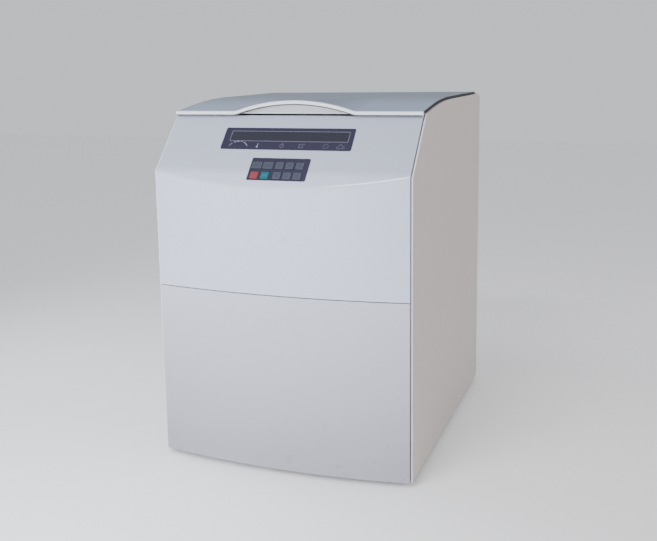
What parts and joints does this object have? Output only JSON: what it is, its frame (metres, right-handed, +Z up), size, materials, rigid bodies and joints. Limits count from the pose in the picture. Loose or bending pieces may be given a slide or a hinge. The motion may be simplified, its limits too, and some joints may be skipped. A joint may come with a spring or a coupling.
{
  "type": "laboratory centrifuge",
  "caption": "Floor-standing refrigerated laboratory centrifuge with a hinged lid, sloping key panel and a swing-out rotor in a round chamber.",
  "frame": {"origin": "on the floor under the middle of the machine", "axes": "+Z up, +X to the operator's right, -Y towards the operator"},
  "size_m": [0.606, 0.765, 0.8363],
  "materials": {
    "front_paint": "satin light blue-grey enamel",
    "side_paint": "fine-textured warm grey powder coat",
    "lid_paint": "satin blue-grey enamel",
    "frame_steel": "dark grey primer",
    "stainless": "brushed",
    "zinc_steel": "zinc plated",
    "chrome_rod": "polished",
    "strut_black": "satin black",
    "seal_black": "soft black",
    "damper_rubber": "moulded",
    "roller_rubber": "moulded",
    "gasket_rubber": "soft",
    "liner_plastic": "warm white",
    "foam": "rigid foam",
    "overlay_film": "navy polyester film",
    "window_film": "dark tinted",
    "key_grey": "grey-blue",
    "key_red": "red",
    "key_teal": "teal",
    "board_green": "circuit board",
    "copper_pipe": "bare copper",
    "compressor_black": "gloss black",
    "aluminium_fin": "mill finish",
    "motor_cast": "cast",
    "rotor_aluminium": "anodised",
    "bucket_aluminium": "anodised",
    "fan_black": "moulded",
    "inlet_black": "moulded",
    "foot_black": "zinc stem with dark pad"
  },
  "bodies": {
    "cabinet": {"base_frame": "frame_steel", "upright_frame": "frame_steel", "left_side_panel": "side_paint", "right_side_panel": "side_paint", "rear_panel": "side_paint", "panel_screws": "zinc_steel", "upper_front_panel": "front_paint", "lower_front_panel": "front_paint", "keypad_overlay": "overlay_film", "display_overlay": "overlay_film", "display_window": "window_film", "control_board": "board_green", "top_deck": "stainless", "chamber_bowl": "stainless", "chamber_gasket": "gasket_rubber", "bowl_insulation": "foam", "guard_ring": "frame_steel", "evaporator_coil": "copper_pipe", "motor_plate": "zinc_steel", "rubber_dampers": "damper_rubber", "motor_housing": "motor_cast", "compressor": "compressor_black", "condenser_core": "aluminium_fin", "fan_shroud": "strut_black", "power_entry": "inlet_black", "latch_housing": "zinc_steel", "hinge_brackets": "zinc_steel", "edge_seals": "seal_black"},
    "lid": {"lid_shell": "lid_paint", "lid_edge_trim": "seal_black", "lid_liner": "liner_plastic", "lid_fittings": "zinc_steel"},
    "strut_tube_l": {"strut_cylinder_left": "strut_black"},
    "strut_tube_r": {"strut_cylinder_right": "strut_black"},
    "strut_shaft_l": {"strut_rod_left": "chrome_rod"},
    "strut_shaft_r": {"strut_rod_right": "chrome_rod"},
    "bolt": {"latch_bolt": "chrome_rod"},
    "rotor": {"rotor_spindle": "stainless", "rotor_yoke": "rotor_aluminium", "rotor_nut": "rotor_aluminium"},
    "rocker": {"power_rocker": "fan_black"},
    "fan": {"fan_blades": "fan_black"},
    "roller_l": {"rear_roller_left": "roller_rubber"},
    "roller_r": {"rear_roller_right": "roller_rubber"},
    "foot_l": {"front_foot_left": "foot_black"},
    "foot_r": {"front_foot_right": "foot_black"},
    "bucket_body_1": {"bucket_1": "bucket_aluminium"},
    "bucket_body_2": {"bucket_2": "bucket_aluminium"},
    "bucket_body_3": {"bucket_3": "bucket_aluminium"},
    "bucket_body_4": {"bucket_4": "bucket_aluminium"},
    "key_body_1": {"key_1": "key_grey"},
    "key_body_2": {"key_2": "key_grey"},
    "key_body_3": {"key_3": "key_grey"},
    "key_body_4": {"key_4": "key_grey"},
    "key_body_5": {"key_5": "key_grey"},
    "key_body_6": {"key_6": "key_red"},
    "key_body_7": {"key_7": "key_teal"},
    "key_body_8": {"key_8": "key_grey"},
    "key_body_9": {"key_9": "key_grey"},
    "key_body_10": {"key_10": "key_grey"}
  },
  "joints": [
    {"name": "lid_hinge", "type": "hinge", "parent": "cabinet", "child": "lid", "pos_m": [0, 0.33, 0.831], "axis": [-1, 0, 0], "range_deg": [0, 60]},
    {"name": "strut_pivot_l", "type": "hinge", "parent": "cabinet", "child": "strut_tube_l", "pos_m": [-0.278, 0.3295, 0.7046], "axis": [-1, 0, 0], "range_deg": [0, 17.38]},
    {"name": "strut_slide_l", "type": "slide", "parent": "strut_tube_l", "child": "strut_shaft_l", "axis": [0, -0.5118, 0.8591], "range_m": [0, 0.05165]},
    {"name": "strut_pivot_r", "type": "hinge", "parent": "cabinet", "child": "strut_tube_r", "pos_m": [0.278, 0.3295, 0.7046], "axis": [-1, 0, 0], "range_deg": [0, 17.38]},
    {"name": "strut_slide_r", "type": "slide", "parent": "strut_tube_r", "child": "strut_shaft_r", "axis": [0, -0.5118, 0.8591], "range_m": [0, 0.05165]},
    {"name": "latch_slide", "type": "slide", "parent": "cabinet", "child": "bolt", "axis": [1, 0, 0], "range_m": [0, 0.014]},
    {"name": "rotor_spin", "type": "hinge", "parent": "cabinet", "child": "rotor", "pos_m": [0, 0.065, 0.6], "axis": [0, 0, 1], "continuous": true},
    {"name": "bucket_swing_1", "type": "hinge", "parent": "rotor", "child": "bucket_body_1", "pos_m": [0.095, 0.065, 0.7], "axis": [0, -1, 0], "range_deg": [0, 90]},
    {"name": "bucket_swing_2", "type": "hinge", "parent": "rotor", "child": "bucket_body_2", "pos_m": [0, 0.16, 0.7], "axis": [1, 0, 0], "range_deg": [0, 90]},
    {"name": "bucket_swing_3", "type": "hinge", "parent": "rotor", "child": "bucket_body_3", "pos_m": [-0.095, 0.065, 0.7], "axis": [0, 1, 0], "range_deg": [0, 90]},
    {"name": "bucket_swing_4", "type": "hinge", "parent": "rotor", "child": "bucket_body_4", "pos_m": [0, -0.03, 0.7], "axis": [-1, 0, 0], "range_deg": [0, 90]},
    {"name": "key_press_1", "type": "slide", "parent": "cabinet", "child": "key_body_1", "axis": [0, 0.7339, -0.6793], "range_m": [0, 0.0006], "stiffness_N_per_m": 400, "springref_m": -0.0004},
    {"name": "key_press_2", "type": "slide", "parent": "cabinet", "child": "key_body_2", "axis": [0, 0.7339, -0.6793], "range_m": [0, 0.0006], "stiffness_N_per_m": 400, "springref_m": -0.0004},
    {"name": "key_press_3", "type": "slide", "parent": "cabinet", "child": "key_body_3", "axis": [0, 0.7339, -0.6793], "range_m": [0, 0.0006], "stiffness_N_per_m": 400, "springref_m": -0.0004},
    {"name": "key_press_4", "type": "slide", "parent": "cabinet", "child": "key_body_4", "axis": [0, 0.7339, -0.6793], "range_m": [0, 0.0006], "stiffness_N_per_m": 400, "springref_m": -0.0004},
    {"name": "key_press_5", "type": "slide", "parent": "cabinet", "child": "key_body_5", "axis": [0, 0.7339, -0.6793], "range_m": [0, 0.0006], "stiffness_N_per_m": 400, "springref_m": -0.0004},
    {"name": "key_press_6", "type": "slide", "parent": "cabinet", "child": "key_body_6", "axis": [0, 0.7339, -0.6793], "range_m": [0, 0.0006], "stiffness_N_per_m": 400, "springref_m": -0.0004},
    {"name": "key_press_7", "type": "slide", "parent": "cabinet", "child": "key_body_7", "axis": [0, 0.7339, -0.6793], "range_m": [0, 0.0006], "stiffness_N_per_m": 400, "springref_m": -0.0004},
    {"name": "key_press_8", "type": "slide", "parent": "cabinet", "child": "key_body_8", "axis": [0, 0.7339, -0.6793], "range_m": [0, 0.0006], "stiffness_N_per_m": 400, "springref_m": -0.0004},
    {"name": "key_press_9", "type": "slide", "parent": "cabinet", "child": "key_body_9", "axis": [0, 0.7339, -0.6793], "range_m": [0, 0.0006], "stiffness_N_per_m": 400, "springref_m": -0.0004},
    {"name": "key_press_10", "type": "slide", "parent": "cabinet", "child": "key_body_10", "axis": [0, 0.7339, -0.6793], "range_m": [0, 0.0006], "stiffness_N_per_m": 400, "springref_m": -0.0004},
    {"name": "rocker_tilt", "type": "hinge", "parent": "cabinet", "child": "rocker", "pos_m": [-0.178, 0.3675, 0.11], "axis": [1, 0, 0], "range_deg": [0, 16]},
    {"name": "fan_spin", "type": "hinge", "parent": "cabinet", "child": "fan", "pos_m": [0.14, 0.35, 0.21], "axis": [0, 1, 0], "continuous": true},
    {"name": "roller_spin_l", "type": "hinge", "parent": "cabinet", "child": "roller_l", "pos_m": [-0.23, 0.31, 0.022], "axis": [1, 0, 0], "continuous": true},
    {"name": "roller_spin_r", "type": "hinge", "parent": "cabinet", "child": "roller_r", "pos_m": [0.23, 0.31, 0.022], "axis": [1, 0, 0], "continuous": true},
    {"name": "foot_height_l", "type": "slide", "parent": "cabinet", "child": "foot_l", "axis": [0, 0, 1], "range_m": [-0.006, 0.005]},
    {"name": "foot_height_r", "type": "slide", "parent": "cabinet", "child": "foot_r", "axis": [0, 0, 1], "range_m": [-0.006, 0.005]}
  ],
  "couplings": [
    {"joint": "strut_pivot_l", "follows": "lid_hinge", "ratio": 0.28933},
    {"joint": "strut_slide_l", "follows": "lid_hinge", "m_per_rad": 0.049226},
    {"joint": "strut_pivot_r", "follows": "lid_hinge", "ratio": 0.28933},
    {"joint": "strut_slide_r", "follows": "lid_hinge", "m_per_rad": 0.049226}
  ]
}
